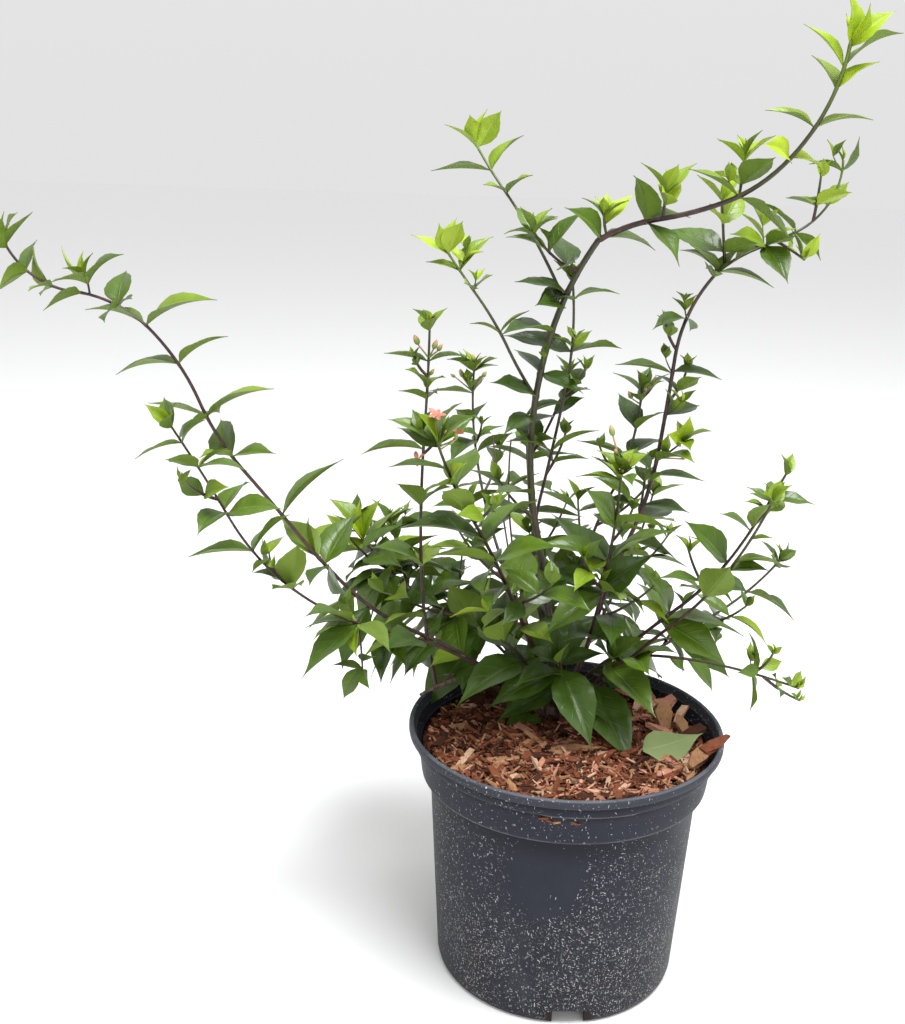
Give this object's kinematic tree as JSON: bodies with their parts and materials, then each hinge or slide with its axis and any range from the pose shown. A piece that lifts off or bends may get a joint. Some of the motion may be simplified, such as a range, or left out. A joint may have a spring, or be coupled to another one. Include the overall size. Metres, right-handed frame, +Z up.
{
  "type": "potted glossy abelia shrub",
  "caption": "Young glossy abelia with long arching canes and opposite pointed leaves, rooted in a round plastic nursery pot topped with bark mulch.",
  "frame": {"origin": "centre of the pot's flat underside", "axes": "+Z up along the pot's axis, -Y towards the side that the picture shows, +X to its right"},
  "size_m": [0.4956, 0.2897, 0.5838],
  "materials": {
    "pot_plastic": "matte, limescale specks",
    "mulch": "rough shredded bark",
    "crown_wood": "rough bark",
    "bark": "smooth young bark",
    "foliage": "glossy leaves"
  },
  "bodies": {
    "root": {"arch_back_spray": "foliage", "arch_middle_spray": "foliage", "arch_near_spray": "foliage", "back_left_cane": "bark", "back_left_shoot": "foliage", "back_low_cane": "bark", "back_low_shoot": "foliage", "back_right_cane": "bark", "back_right_shoot": "foliage", "bark_mulch": "mulch", "bud_cane": "bark", "bud_shoot": "foliage", "dead_twig_left": "bark", "dead_twig_right": "bark", "far_right_cane": "bark", "far_right_shoot": "foliage", "front_cane": "bark", "front_shoot": "foliage", "high_whip_shoot": "foliage", "left_arch_cane": "bark", "left_arch_shoot": "foliage", "left_arch_tip": "foliage", "left_low_cane": "bark", "left_low_shoot": "foliage", "left_rise_cane": "bark", "left_rise_shoot": "foliage", "left_thin_cane": "bark", "left_thin_shoot": "foliage", "low_back_spray": "foliage", "low_front_spray": "foliage", "low_left_spray": "foliage", "low_near_spray": "foliage", "low_right_cane": "bark", "low_right_shoot": "foliage", "low_right_twin_cane": "bark", "low_right_twin_shoot": "foliage", "low_whip_shoot": "foliage", "main_arch_bough": "bark", "main_arch_tip": "foliage", "main_back_spray": "foliage", "main_left_spray": "foliage", "main_stem": "bark", "middle_cane": "bark", "middle_shoot": "foliage", "near_right_cane": "bark", "near_right_shoot": "foliage", "pot": "pot_plastic", "right_back_cane": "bark", "right_back_shoot": "foliage", "right_cane": "bark", "right_fork_shoot": "foliage", "right_shoot": "foliage", "rim_riser_cane": "bark", "rim_riser_shoot": "foliage", "rim_root_cane": "bark", "root_crown": "crown_wood"}
  },
  "joints": []
}
